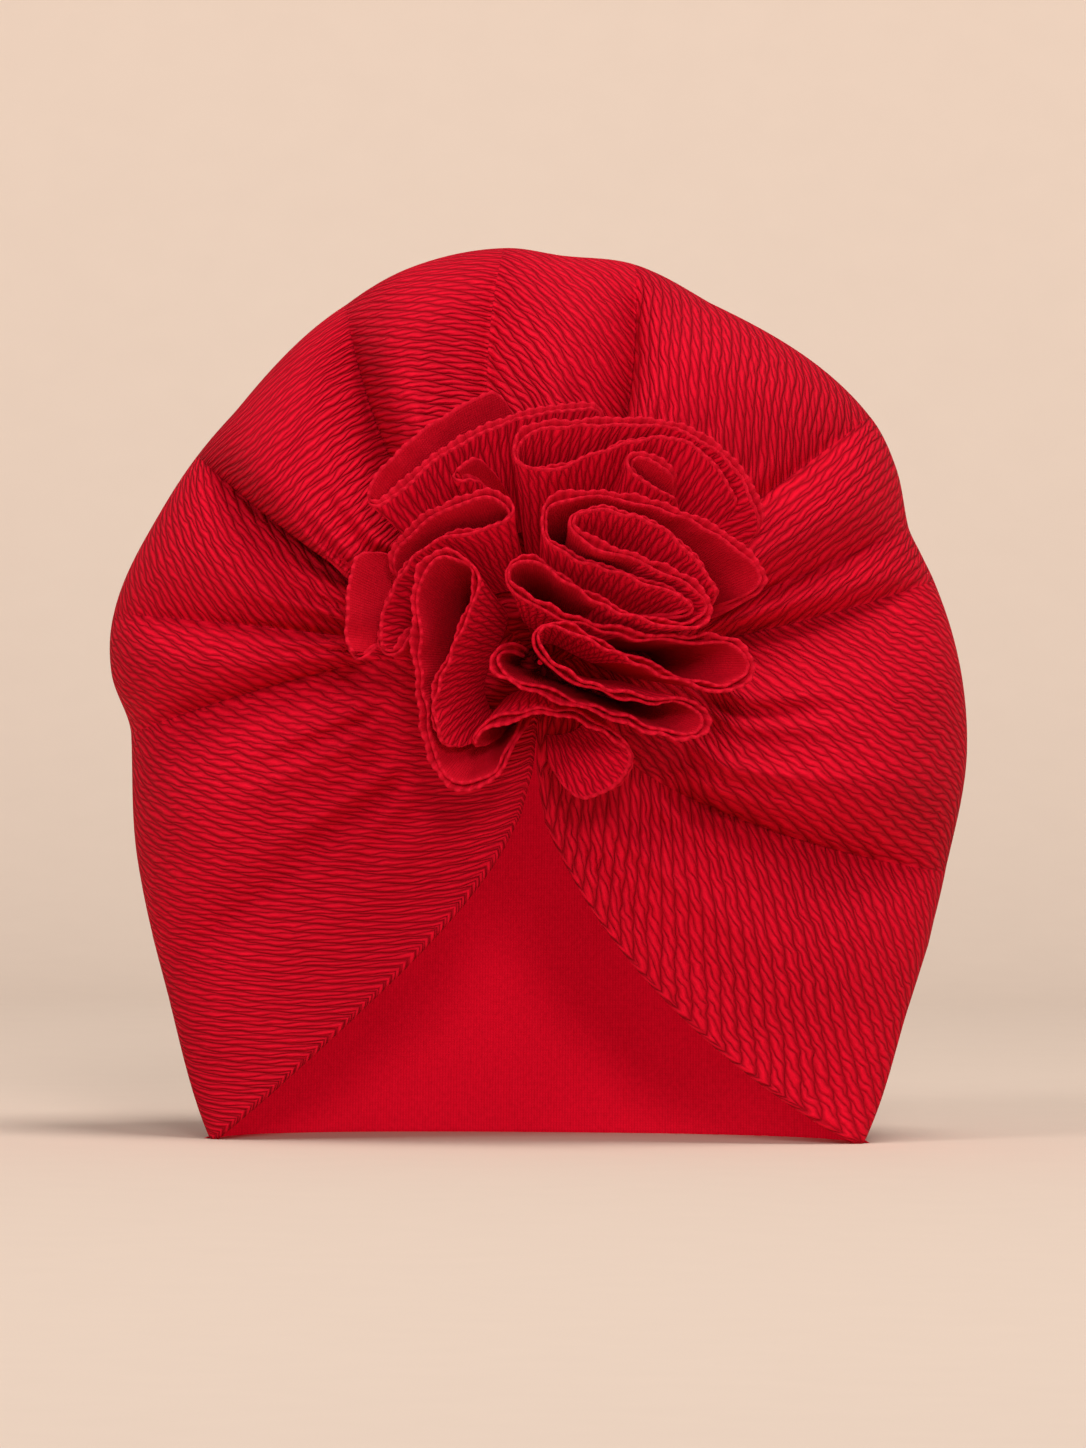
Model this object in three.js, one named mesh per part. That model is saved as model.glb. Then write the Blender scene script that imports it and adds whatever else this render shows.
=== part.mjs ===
import * as THREE from 'three';

// A child's turban hat of one crinkled knit: a front wrap gathered to a point, a plain back panel
// and a flower of ruffled strips on the gather. Millimetres, +Z up, the front faces -Y, and the hat
// stands on its hem. Radii and angles are measured about the gather, seen from the front.

// Driving sizes
const CORNER_HALF_WIDTH = 71.6;
const GATHER_HEIGHT = 105;
const WALL = 1.8;
const RUFFLE_WALL = 1.15;
const SEAT_GAP = 0.3;
const SEAM_GAP = 0.8;
const GATHER_HOLE = 4;
const DISH_RADIUS = 34;

// Depths along Y: the flat dish that carries the flower, the side fold, the corner tips, the back
const DISH_Y = -10;
const SIDE_Y = 28;
const TIP_Y = 2;
const BACK_Y = 74;
const HEM_Y = 46;

// How square the sections of the front and the back are, as powers of their curves
const FRONT_POWER = 2.3;
const BACK_POWER = 2.35;

// Angles, in degrees from the +X side, going up and over to the left
const CORNER_FALL = THREE.MathUtils.radToDeg(Math.atan2(GATHER_HEIGHT, CORNER_HALF_WIDTH));
const RIGHT_CORNER = -CORNER_FALL;
const LEFT_CORNER = 180 + CORNER_FALL;
const CORNER_REACH = Math.hypot(GATHER_HEIGHT, CORNER_HALF_WIDTH);
const SEAM_TURN = 23;
const SEAM_TURN_AT_CORNER = 3;

// The wrap's folds, from the right flap's edge over the top to the left flap's edge.
// angle and reach: where the fold meets the outline. sweep and curl: how it turns on its way in.
// rise: how far it stands towards the viewer. lean: how far its crest hangs over the next fold.
const FOLDS = [
  {
    name: 'right edge', kind: 'edge', angle: RIGHT_CORNER, sweep: -31, curl: -21.6, reach: CORNER_REACH,
    rise: 0, lean: 0,
  },
  { name: 'right flap', kind: 'crest', angle: -43, sweep: -25, curl: -20, reach: 111.2, rise: 5, lean: 0 },
  { name: 'flap valley', kind: 'valley', angle: -27, sweep: -20, curl: -20, reach: 100.8, rise: -8, lean: 0 },
  { name: 'right puff', kind: 'crest', angle: -11, sweep: -15, curl: -15, reach: 96.2, rise: 11, lean: -4 },
  { name: 'right crease', kind: 'valley', angle: 12, sweep: -8, curl: 0, reach: 88.8, rise: -7, lean: 0 },
  { name: 'narrow ridge', kind: 'crest', angle: 16, sweep: -6, curl: 0, reach: 87.4, rise: 0, lean: 0 },
  { name: 'ridge crease', kind: 'valley', angle: 20.5, sweep: -6, curl: 0, reach: 86.6, rise: -4, lean: 0 },
  { name: 'narrow puff', kind: 'crest', angle: 29, sweep: -4, curl: 0, reach: 89.4, rise: 6, lean: 0 },
  { name: 'soft valley', kind: 'valley', angle: 37, sweep: 0, curl: 0, reach: 90.7, rise: -5, lean: 0 },
  { name: 'great puff', kind: 'crest', angle: 63, sweep: -6, curl: 0, reach: 87.4, rise: 11, lean: 5 },
  { name: 'top crease', kind: 'valley', angle: 77, sweep: -17, curl: 0, reach: 90.1, rise: -10, lean: 0 },
  { name: 'top puff', kind: 'crest', angle: 87, sweep: -2, curl: 0, reach: 89.6, rise: 4, lean: 0 },
  { name: 'upper crease', kind: 'valley', angle: 95.5, sweep: 18, curl: 0, reach: 91.6, rise: -6, lean: 0 },
  { name: 'upper puff', kind: 'crest', angle: 108, sweep: 16, curl: 0, reach: 91.4, rise: 8, lean: 4 },
  { name: 'left crease', kind: 'valley', angle: 119, sweep: 20, curl: 0, reach: 89.7, rise: -10, lean: 0 },
  { name: 'left puff', kind: 'crest', angle: 138, sweep: 15, curl: 0, reach: 86.9, rise: 12, lean: 6 },
  { name: 'deep crease', kind: 'valley', angle: 149.5, sweep: 12, curl: 0, reach: 88.4, rise: -12, lean: 0 },
  { name: 'low ridge', kind: 'crest', angle: 160, sweep: 5, curl: 0, reach: 90.4, rise: 1, lean: 0 },
  { name: 'side valley', kind: 'valley', angle: 174, sweep: -2, curl: 0, reach: 94.9, rise: -7, lean: 0 },
  { name: 'side ridge', kind: 'crest', angle: 182, sweep: -7, curl: -6, reach: 94.8, rise: 4, lean: 0 },
  { name: 'low crease', kind: 'valley', angle: 190.5, sweep: -12, curl: -14, reach: 91.9, rise: -7, lean: 0 },
  { name: 'left flap', kind: 'crest', angle: 207, sweep: -2, curl: 0, reach: 99.2, rise: 6, lean: 0 },
  { name: 'flap dip', kind: 'valley', angle: 219, sweep: 4, curl: 8, reach: 107, rise: -1, lean: 0 },
  { name: 'flap ridge', kind: 'crest', angle: 226, sweep: 9, curl: 16, reach: 114, rise: 3, lean: 0 },
  {
    name: 'left edge', kind: 'edge', angle: LEFT_CORNER, sweep: 17.6, curl: 33.2, reach: CORNER_REACH,
    rise: 0, lean: 0,
  },
];
const FOLD_STEP = 3.9;
const FOLD_STEPS_AT_LEAST = 2;
const FOLD_ROUNDNESS = 0.8;
const SWEEP_LIMIT = 0.77;

// Rows of the wrap from the dish to the outline, as shares of that way, and then round to the seam
const DISH_ROWS = [GATHER_HOLE, 19, DISH_RADIUS];
const FRONT_ROWS = [0.1, 0.2, 0.31, 0.43, 0.55, 0.67, 0.78, 0.88, 0.95, 1];
const SEAM_ROWS = [0.3, 0.64, 1];
const ROW_PAST_SEAM = 1.3;
const FOLD_FULL_FROM = 0.22;
const FOLD_EASE_FROM = 0.72;
const FOLD_AT_OUTLINE = 0.35;

// Grid of the back panel
const HEM_STEPS = 18;
const BACK_ROWS = [1, 0.975, 0.93, 0.84, 0.69, 0.48, 0.25];
const ROW_BEFORE_SEAM = 0.7;
const ROW_PAST_HEM = 1.03;
const SMOOTH_SPAN = 20;
const SMOOTH_SAMPLES = 4;
const WIDTH_SEARCH_STEPS = 24;

// The flower's ruffled strips, from the front one out to the back ones. Each row is a turn of the
// strip's lip: its middle from the gather, its radius, the way it turns (1 is to the left, 0 is an
// end of the strip) and how far out it stands. bow: how far the lip bulges on its way to the next.
const RUFFLES = {
  ruffle_front: [
    { turn: 0, x: 39.6, z: 8.8, radius: 0, out: 40, bow: 0 },
    { turn: 1, x: 32.6, z: 12.4, radius: 7.4, out: 41, bow: -4.2 },
    { turn: 1, x: 8.8, z: 30.6, radius: 3.7, out: 43, bow: 0.7 },
    { turn: -1, x: 32.6, z: 12.4, radius: 4.9, out: 42, bow: 2.9 },
    { turn: 1, x: -3.7, z: 19.4, radius: 4.8, out: 40, bow: -3.7 },
    { turn: -1, x: 40.5, z: 0, radius: 6.1, out: 38, bow: 1.2 },
    { turn: 1, x: 2.4, z: 4.9, radius: 4.7, out: 41, bow: -3.1 },
    { turn: -1, x: 32.6, z: -12.1, radius: 4.6, out: 37, bow: 0 },
    { turn: -1, x: -8.1, z: 0.7, radius: 3.7, out: 37, bow: 0 },
    { turn: 0, x: -4.6, z: 3.3, radius: 0, out: 37, bow: 0 },
  ],
  ruffle_cup: [
    { turn: 0, x: 25.4, z: 12.6, radius: 0, out: 40, bow: 0 },
    { turn: 1, x: 32.4, z: 12.4, radius: 2, out: 42, bow: 0 },
    { turn: -1, x: 5.7, z: 30.6, radius: 6.6, out: 41, bow: 3.7 },
    { turn: -1, x: 44.4, z: 18.3, radius: 5, out: 38, bow: 0 },
    { turn: 0, x: 42.4, z: 12.9, radius: 0, out: 36, bow: 0 },
  ],
  ruffle_top_roll: [
    { turn: 0, x: 45.8, z: 29, radius: 0, out: 30, bow: 0 },
    { turn: 1, x: 25.3, z: 34.1, radius: 15.4, out: 35, bow: 0 },
    { turn: -1, x: -1.5, z: 46.2, radius: 5.3, out: 38, bow: 0 },
    { turn: -1, x: 22, z: 26.4, radius: 26.2, out: 34, bow: 0 },
    { turn: 0, x: 48.6, z: 25.6, radius: 0, out: 27, bow: 0 },
  ],
  ruffle_top_leaf: [
    { turn: 0, x: 35.6, z: 32.8, radius: 0, out: 33, bow: 0 },
    { turn: -1, x: 20.9, z: 43.4, radius: 3.3, out: 37, bow: 0 },
    { turn: 0, x: 34.4, z: 36.6, radius: 0, out: 33, bow: 0 },
  ],
  ruffle_back_upper: [
    { turn: 0, x: -3.5, z: 61.4, radius: 0, out: 19, bow: -3.3 },
    { turn: 1, x: -36.5, z: 35.4, radius: 2.9, out: 27, bow: 7.9 },
    { turn: 0, x: 19.5, z: 55.6, radius: 0, out: 26, bow: 0 },
  ],
  ruffle_small: [
    { turn: 0, x: -8.8, z: 47.5, radius: 0, out: 27, bow: 0 },
    { turn: 1, x: -18.5, z: 40.5, radius: 1.8, out: 33, bow: 0 },
    { turn: 0, x: -9.7, z: 43.6, radius: 0, out: 28, bow: 0 },
  ],
  ruffle_left_upper: [
    { turn: 0, x: -35.6, z: 15.4, radius: 0, out: 28, bow: 4.8 },
    { turn: -1, x: -10.1, z: 32.8, radius: 4.8, out: 38, bow: -8.4 },
    { turn: 1, x: -32.6, z: 4, radius: 3.5, out: 31, bow: 0 },
    { turn: 0, x: -29.9, z: 12.8, radius: 0, out: 30, bow: 0 },
  ],
  ruffle_left_back: [
    { turn: 0, x: -37.8, z: 29.9, radius: 0, out: 26, bow: -2 },
    { turn: 1, x: -39.8, z: 1.3, radius: 1.8, out: 29, bow: 0 },
    { turn: 0, x: -38.4, z: 8.4, radius: 0, out: 28, bow: 0 },
  ],
  ruffle_left_tall: [
    { turn: 0, x: -3.8, z: -15, radius: 0, out: 30, bow: 0 },
    { turn: -1, x: -15.8, z: -20.2, radius: 7.6, out: 33, bow: 1.2 },
    { turn: -1, x: -20.2, z: 17.6, radius: 6.9, out: 38, bow: 0 },
    { turn: 1, x: -13.2, z: -10, radius: 10.7, out: 37, bow: 0 },
    { turn: 0, x: -18.5, z: -23.2, radius: 0, out: 31, bow: 0 },
  ],
  ruffle_lower: [
    { turn: 0, x: 2.4, z: -29.9, radius: 0, out: 25, bow: -2.6 },
    { turn: 1, x: 18.9, z: -20.9, radius: 2.9, out: 31, bow: -5.9 },
    { turn: 1, x: -13, z: -17.2, radius: 3.1, out: 35, bow: 0 },
    { turn: 0, x: -12.4, z: -22.4, radius: 0, out: 31, bow: 0 },
  ],
};
const RUFFLE_STEP = 3.8;
const ROOT_SHARE = 0.55;
const FLARE = 1.6;
const RUFFLE_ROWS = [0, 0.35, 0.7, 1];
const LIP_EASE_PASSES = 2;

const CLOTH = { color: 0xc4102a, roughness: 0.85, metalness: 0 };
const { lerp, clamp, smoothstep, degToRad } = THREE.MathUtils;

// Place of a point at an angle and radius about the gather, and a depth
function aboutGather(angle, radius, y) {
  const turn = degToRad(angle);
  return new THREE.Vector3(radius * Math.cos(turn), y, GATHER_HEIGHT + radius * Math.sin(turn));
}

// A closed wall between two grids of points, given as rows of equal length. The face grid looks along
// its normals and the other looks back. A ring joins its last column to its first, and a cap closes
// its last row with one middle point a side.
function wallBody(face, rear, { ring = false, cap = null } = {}) {
  const rows = face.length;
  const columns = face[0].length;
  const positions = [];
  const triangles = [];
  const put = (point) => {
    positions.push(point.x, point.y, point.z);
    return positions.length / 3 - 1;
  };
  const faceIds = face.map((row) => row.map(put));
  const rearIds = rear.map((row) => row.map(put));
  const quad = (a, b, c, d) => triangles.push(a, b, c, a, c, d);
  const spans = ring ? columns : columns - 1;
  for (let j = 0; j < rows - 1; j += 1) {
    for (let i = 0; i < spans; i += 1) {
      const k = (i + 1) % columns;
      quad(faceIds[j][i], faceIds[j][k], faceIds[j + 1][k], faceIds[j + 1][i]);
      quad(rearIds[j][k], rearIds[j][i], rearIds[j + 1][i], rearIds[j + 1][k]);
    }
  }
  for (let i = 0; i < spans; i += 1) {
    const k = (i + 1) % columns;
    quad(faceIds[0][k], faceIds[0][i], rearIds[0][i], rearIds[0][k]);
    if (!cap) quad(faceIds[rows - 1][i], faceIds[rows - 1][k], rearIds[rows - 1][k], rearIds[rows - 1][i]);
  }
  if (cap) {
    const faceTip = put(cap.face);
    const rearTip = put(cap.rear);
    for (let i = 0; i < spans; i += 1) {
      const k = (i + 1) % columns;
      triangles.push(faceIds[rows - 1][i], faceIds[rows - 1][k], faceTip);
      triangles.push(rearIds[rows - 1][k], rearIds[rows - 1][i], rearTip);
    }
  }
  if (!ring) {
    for (let j = 0; j < rows - 1; j += 1) {
      quad(faceIds[j][0], faceIds[j + 1][0], rearIds[j + 1][0], rearIds[j][0]);
      quad(faceIds[j + 1][spans], faceIds[j][spans], rearIds[j][spans], rearIds[j + 1][spans]);
    }
  }
  const geometry = new THREE.BufferGeometry();
  geometry.setAttribute('position', new THREE.Float32BufferAttribute(positions, 3));
  geometry.setIndex(triangles);
  geometry.computeVertexNormals();
  return geometry;
}

// Unit normals of a grid of points, from the neighbours of each point
function gridNormals(grid, ring) {
  const rows = grid.length;
  const columns = grid[0].length;
  return grid.map((row, j) => row.map((point, i) => {
    const before = ring ? (i + columns - 1) % columns : Math.max(i - 1, 0);
    const after = ring ? (i + 1) % columns : Math.min(i + 1, columns - 1);
    const along = new THREE.Vector3().subVectors(row[after], row[before]);
    const below = grid[Math.max(j - 1, 0)][i];
    const above = grid[Math.min(j + 1, rows - 1)][i];
    const across = new THREE.Vector3().subVectors(above, below);
    return along.cross(across).normalize();
  }));
}

// Points of a grid moved along their normals
function shifted(grid, normals, distance) {
  return grid.map((row, j) => row.map((point, i) => {
    const moved = point.clone();
    return moved.addScaledVector(normals[j][i], distance);
  }));
}

// Reach of the outline at an angle: a smooth curve through the table's folds
function outlineReach(angle) {
  const last = FOLDS.length - 1;
  let n = 0;
  while (n < last - 1 && FOLDS[n + 1].angle < angle) n += 1;
  const a = FOLDS[n];
  const b = FOLDS[n + 1];
  const slope = (k) => {
    const low = FOLDS[Math.max(k - 1, 0)];
    const high = FOLDS[Math.min(k + 1, last)];
    return (high.reach - low.reach) / (high.angle - low.angle);
  };
  const span = b.angle - a.angle;
  const q = clamp((angle - a.angle) / span, 0, 1);
  const h00 = 2 * q ** 3 - 3 * q ** 2 + 1;
  const h10 = q ** 3 - 2 * q ** 2 + q;
  const h01 = 1 - h00;
  const h11 = q ** 3 - q ** 2;
  return h00 * a.reach + h10 * span * slope(n) + h01 * b.reach + h11 * span * slope(n + 1);
}

// The outline without its puffs, which the seam behind it follows
function plainReach(angle) {
  const span = Math.min(SMOOTH_SPAN, angle - RIGHT_CORNER, LEFT_CORNER - angle);
  let sum = 0;
  for (let k = -SMOOTH_SAMPLES; k <= SMOOTH_SAMPLES; k += 1) {
    sum += outlineReach(angle + (span * k) / SMOOTH_SAMPLES);
  }
  return sum / (2 * SMOOTH_SAMPLES + 1);
}

// Share of the height up to the gather, rising quickly at first
function heightShare(z) {
  return Math.sin((Math.PI / 2) * clamp(z / GATHER_HEIGHT, 0, 1));
}

// Depth of the side fold at a height: the corner tips lie furthest forward
function sideDepth(z) {
  return lerp(TIP_Y, SIDE_Y, heightShare(z));
}

// Half the width of the plain outline at a height below the gather, on the side that x lies on
function halfWidth(x, z) {
  const level = x < 0 ? 180 : 0;
  const corner = x < 0 ? LEFT_CORNER : RIGHT_CORNER;
  let low = 0;
  let high = 1;
  for (let k = 0; k < WIDTH_SEARCH_STEPS; k += 1) {
    const share = (low + high) / 2;
    const angle = lerp(corner, level, share);
    if (aboutGather(angle, plainReach(angle), 0).z < z) low = share;
    else high = share;
  }
  const angle = lerp(corner, level, low);
  return Math.abs(aboutGather(angle, plainReach(angle), 0).x);
}

// A point of the back: a dome above the gather, and rounded level sections below it, down to the hem
function backPoint(angle, radius) {
  const point = aboutGather(angle, radius, 0);
  const above = point.z > GATHER_HEIGHT;
  let share = radius / plainReach(angle);
  if (!above) share = Math.abs(point.x) / halfWidth(point.x, Math.max(point.z, 0));
  const dome = (1 - Math.min(share, 1) ** BACK_POWER) ** (1 / BACK_POWER);
  point.y = lerp(sideDepth(point.z), lerp(HEM_Y, BACK_Y, heightShare(point.z)), dome);
  return point;
}

// How far the seam lies behind the outline, as a turn round the side fold: little at the corners
function seamTurn(angle) {
  const outlineHeight = aboutGather(angle, outlineReach(angle), 0).z;
  return lerp(SEAM_TURN_AT_CORNER, SEAM_TURN, heightShare(outlineHeight));
}

function inwardShare(turn) {
  return Math.cos(degToRad(turn)) ** (2 / BACK_POWER);
}

function backwardShare(turn) {
  return Math.sin(degToRad(turn)) ** (2 / BACK_POWER);
}

// One column of the wrap for each step between two folds of the table
function wrapColumns() {
  const columns = [];
  for (let n = 0; n < FOLDS.length - 1; n += 1) {
    const a = FOLDS[n];
    const b = FOLDS[n + 1];
    const steps = Math.max(FOLD_STEPS_AT_LEAST, Math.round((b.angle - a.angle) / FOLD_STEP));
    const isLast = n === FOLDS.length - 2;
    for (let k = 0; k < steps + (isLast ? 1 : 0); k += 1) {
      const q = k / steps;
      let blend = smoothstep(q, 0, 1);
      if (a.kind === 'valley') blend = Math.sin((q * Math.PI) / 2) ** FOLD_ROUNDNESS;
      if (b.kind === 'valley') blend = 1 - Math.sin(((1 - q) * Math.PI) / 2) ** FOLD_ROUNDNESS;
      columns.push({
        angle: lerp(a.angle, b.angle, q),
        sweep: lerp(a.sweep, b.sweep, q),
        curl: lerp(a.curl, b.curl, q),
        rise: lerp(a.rise, b.rise, blend),
        lean: lerp(a.lean, b.lean, blend),
      });
    }
  }
  return columns;
}

// A point of the wrap's front at a radius. folds says how strongly the folds show there
function frontPoint(column, radius, reach, folds) {
  const inward = Math.min(1 - radius / reach, SWEEP_LIMIT);
  const angle = column.angle + column.sweep * inward + column.curl * inward ** 3;
  const share = clamp((radius - DISH_RADIUS) / (reach - DISH_RADIUS), 0, 1);
  const side = sideDepth(aboutGather(column.angle, reach, 0).z);
  const depth = side - (side - DISH_Y) * (1 - share ** FRONT_POWER) ** (1 / FRONT_POWER);
  const point = aboutGather(angle, radius, depth - column.rise * folds);
  const turn = degToRad(angle);
  point.x -= Math.sin(turn) * column.lean * folds;
  point.z += Math.cos(turn) * column.lean * folds;
  return point;
}

// The front wrap: both flaps and all puffs in one sheet, from the gather round to the seam
function crownFront() {
  const columns = wrapColumns();
  const dishRow = (radius) => columns.map((c) => frontPoint(c, radius, outlineReach(c.angle), 0));
  const grid = DISH_ROWS.map(dishRow);
  FRONT_ROWS.forEach((share) => {
    const rising = smoothstep(share, 0, FOLD_FULL_FROM);
    const easing = 1 - (1 - FOLD_AT_OUTLINE) * smoothstep(share, FOLD_EASE_FROM, 1);
    grid.push(columns.map((c) => {
      const reach = outlineReach(c.angle);
      return frontPoint(c, lerp(DISH_RADIUS, reach, share), reach, rising * easing);
    }));
  });
  [...SEAM_ROWS, ROW_PAST_SEAM].forEach((share) => {
    grid.push(columns.map((c) => {
      const turn = seamTurn(c.angle);
      const seam = backPoint(c.angle, plainReach(c.angle) * inwardShare(turn));
      const reach = lerp(outlineReach(c.angle), plainReach(c.angle), smoothstep(share, 0, 1));
      const point = aboutGather(c.angle, reach * inwardShare(turn * share), 0);
      const side = sideDepth(point.z);
      point.y = lerp(side, seam.y, backwardShare(turn * share) / backwardShare(turn));
      point.y -= c.rise * FOLD_AT_OUTLINE * (1 - smoothstep(share, 0, 1));
      return point;
    }));
  });
  const inside = shifted(grid, gridNormals(grid, false), WALL);
  inside.flat().forEach((point) => {
    point.z = Math.max(point.z, 0);
  });
  return wallBody(inside.slice(0, -1), grid.slice(0, -1));
}

// The back panel: a plain domed sheet from the seam and the hem to the middle of the back
function crownBack() {
  const edge = [];
  wrapColumns().forEach(({ angle }, n, all) => {
    if (n % 2 && n < all.length - 2) return;
    const turn = seamTurn(angle) + THREE.MathUtils.radToDeg(SEAM_GAP / (BACK_Y - SIDE_Y));
    const reach = plainReach(angle);
    const past = reach * inwardShare(turn * ROW_BEFORE_SEAM);
    edge.push({ angle, radius: reach * inwardShare(turn), past });
  });
  for (let k = 1; k < HEM_STEPS; k += 1) {
    const x = -CORNER_HALF_WIDTH * Math.cos((Math.PI * k) / HEM_STEPS);
    const radius = Math.hypot(x, GATHER_HEIGHT);
    const angle = 270 + THREE.MathUtils.radToDeg(Math.atan2(x, GATHER_HEIGHT));
    edge.push({ angle, radius, past: radius * ROW_PAST_HEM });
  }
  const past = edge.map((e) => backPoint(e.angle, e.past));
  const grid = BACK_ROWS.map((row) => edge.map((e) => backPoint(e.angle, e.radius * row)));
  const inside = shifted([past, ...grid], gridNormals([past, ...grid], true), WALL).slice(1);
  grid[0].slice(1 - HEM_STEPS).forEach((point, i) => {
    inside[0][i + grid[0].length - HEM_STEPS + 1].z = point.z;
  });
  const cap = { face: aboutGather(0, 0, BACK_Y - WALL), rear: aboutGather(0, 0, BACK_Y) };
  return wallBody(inside, grid, { ring: true, cap });
}

// Where a strip leaves one turn and meets the next: the straight line that touches both
function tangent(a, b) {
  const toward = Math.atan2(b.z - a.z, b.x - a.x);
  const apart = Math.hypot(b.x - a.x, b.z - a.z);
  const heading = toward - Math.asin((b.turn * b.radius - a.turn * a.radius) / apart);
  const left = { x: -Math.sin(heading), z: Math.cos(heading) };
  const touch = (t) => ({ x: t.x - left.x * t.turn * t.radius, z: t.z - left.z * t.turn * t.radius });
  return { from: touch(a), to: touch(b), left };
}

// The line of a ruffle's lip: round each turn, then across to the next, in even steps
function lipLine(turns) {
  const crossings = turns.slice(1).map((turn, n) => tangent(turns[n], turn));
  const line = [];
  turns.forEach((turn, n) => {
    const arrive = n > 0 ? crossings[n - 1].to : crossings[0].from;
    const leave = n < crossings.length ? crossings[n].from : arrive;
    if (turn.turn) {
      const start = Math.atan2(arrive.z - turn.z, arrive.x - turn.x);
      const end = Math.atan2(leave.z - turn.z, leave.x - turn.x);
      const full = 2 * Math.PI;
      const swept = turn.turn * ((((end - start) * turn.turn) % full + full) % full);
      const steps = Math.max(1, Math.round(Math.abs(swept * turn.radius) / RUFFLE_STEP));
      for (let k = 0; k < steps; k += 1) {
        const angle = start + (swept * k) / steps;
        line.push({
          x: turn.x + turn.radius * Math.cos(angle),
          z: turn.z + turn.radius * Math.sin(angle),
          out: turn.out,
        });
      }
    }
    if (n === crossings.length) {
      line.push({ ...arrive, out: turn.out });
      return;
    }
    const { from, to, left } = crossings[n];
    const steps = Math.max(2, Math.round(Math.hypot(to.x - from.x, to.z - from.z) / RUFFLE_STEP));
    for (let k = 0; k < steps; k += 1) {
      const q = k / steps;
      const bulge = 4 * q * (1 - q) * turn.bow;
      line.push({
        x: lerp(from.x, to.x, q) + left.x * bulge,
        z: lerp(from.z, to.z, q) + left.z * bulge,
        out: lerp(turn.out, turns[n + 1].out, smoothstep(q, 0, 1)),
      });
    }
  });
  for (let pass = 0; pass < LIP_EASE_PASSES; pass += 1) {
    const before = line.map((point) => ({ ...point }));
    for (let i = 1; i < line.length - 1; i += 1) {
      ['x', 'z', 'out'].forEach((key) => {
        line[i][key] = (before[i - 1][key] + 2 * before[i][key] + before[i + 1][key]) / 4;
      });
    }
  }
  return line;
}

// A ruffled strip: it stands on the dish, drawn in to its root, and flares out to its lip
function ruffle(turns) {
  const line = lipLine(turns);
  const foot = DISH_Y - SEAT_GAP;
  const grid = RUFFLE_ROWS.map((row) => line.map((point) => {
    const share = lerp(ROOT_SHARE, 1, row ** FLARE);
    return new THREE.Vector3(point.x * share, lerp(foot, -point.out, row), GATHER_HEIGHT + point.z * share);
  }));
  const normals = gridNormals(grid, false);
  const face = shifted(grid, normals, RUFFLE_WALL / 2);
  const rear = shifted(grid, normals, -RUFFLE_WALL / 2);
  [face[0], rear[0]].flat().forEach((point) => {
    point.y = foot;
  });
  return wallBody(face, rear);
}

function mesh(name, geometry) {
  const material = new THREE.MeshStandardMaterial({ ...CLOTH, name: 'crinkle_knit' });
  const part = new THREE.Mesh(geometry, material);
  part.name = name;
  return part;
}

const hat = new THREE.Group();
hat.add(mesh('crown_front', crownFront()));
hat.add(mesh('crown_back', crownBack()));
Object.entries(RUFFLES).forEach(([name, turns]) => {
  hat.add(mesh(name, ruffle(turns)));
});

const bounds = new THREE.Box3().setFromObject(hat);
const middle = bounds.getCenter(new THREE.Vector3());
hat.position.set(-middle.x, -middle.y, -bounds.min.z);

export default hat;
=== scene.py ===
import math

import bmesh
import bpy
import numpy as np
from mathutils import Matrix, Vector


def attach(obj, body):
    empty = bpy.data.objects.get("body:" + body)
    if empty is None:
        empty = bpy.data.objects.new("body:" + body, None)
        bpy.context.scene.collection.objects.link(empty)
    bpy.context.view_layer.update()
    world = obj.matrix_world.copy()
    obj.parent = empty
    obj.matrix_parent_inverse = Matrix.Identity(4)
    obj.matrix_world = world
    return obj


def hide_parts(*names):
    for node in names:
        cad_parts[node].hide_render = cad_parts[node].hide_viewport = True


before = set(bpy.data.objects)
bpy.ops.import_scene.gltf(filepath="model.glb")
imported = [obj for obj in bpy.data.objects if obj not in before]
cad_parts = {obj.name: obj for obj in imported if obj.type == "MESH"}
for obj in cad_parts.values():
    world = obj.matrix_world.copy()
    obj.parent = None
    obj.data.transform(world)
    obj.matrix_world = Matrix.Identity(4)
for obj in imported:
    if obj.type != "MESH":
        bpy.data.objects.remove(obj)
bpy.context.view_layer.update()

# Camera
# A long lens 2.7 metres in front of the hat, a little above the table, so that the hat
# shows almost without perspective. It is rolled by half a degree, as in the picture.
camera_eye = Vector((0.0012, -2.7, 0.128))
camera_aim = Vector((0.0012, 0.0, 0.0912))
camera_roll = math.radians(0.42)
framed_height = 0.3186
sensor_side = 36.0

camera_data = bpy.data.cameras.new("camera")
camera_data.sensor_width = sensor_side
camera_data.lens = sensor_side * (camera_aim - camera_eye).length / framed_height
camera_data.clip_end = 20.0
camera = bpy.data.objects.new("camera", camera_data)
bpy.context.scene.collection.objects.link(camera)
looking = (camera_aim - camera_eye).to_track_quat("-Z", "Y").to_matrix().to_4x4()
camera.matrix_world = Matrix.Translation(camera_eye) @ looking @ Matrix.Rotation(camera_roll, 4, "Z")
bpy.context.scene.camera = camera

# Front wrap
# One sheet of crinkled polyester knit, gathered to a point at the front. It makes both
# flaps and all the puffs between them, and is seamed to the back panel behind the side
# fold. Sizes are in millimetres, and angles and radii are about the gather, from the front.
corner_half_width = 71.6
gather_height = 105.0
hat_middle = np.array([-0.5042, 15.3671, 0.0])
wall = 1.8
dish_radius = 34.0
gather_hole = 0.6
dish_y, side_y, tip_y, back_y, hem_y = -10.0, 28.0, 2.0, 74.0, 46.0
front_power, back_power = 2.3, 2.35
seam_turn_full, seam_turn_at_corner = 23.0, 3.0
sweep_limit = 0.77
fold_full_from, fold_ease_from, fold_at_outline = 0.22, 0.72, 0.35
fold_roundness = 0.8
outline_blend, blend_samples = 20.0, 4
width_halvings = 24

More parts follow.
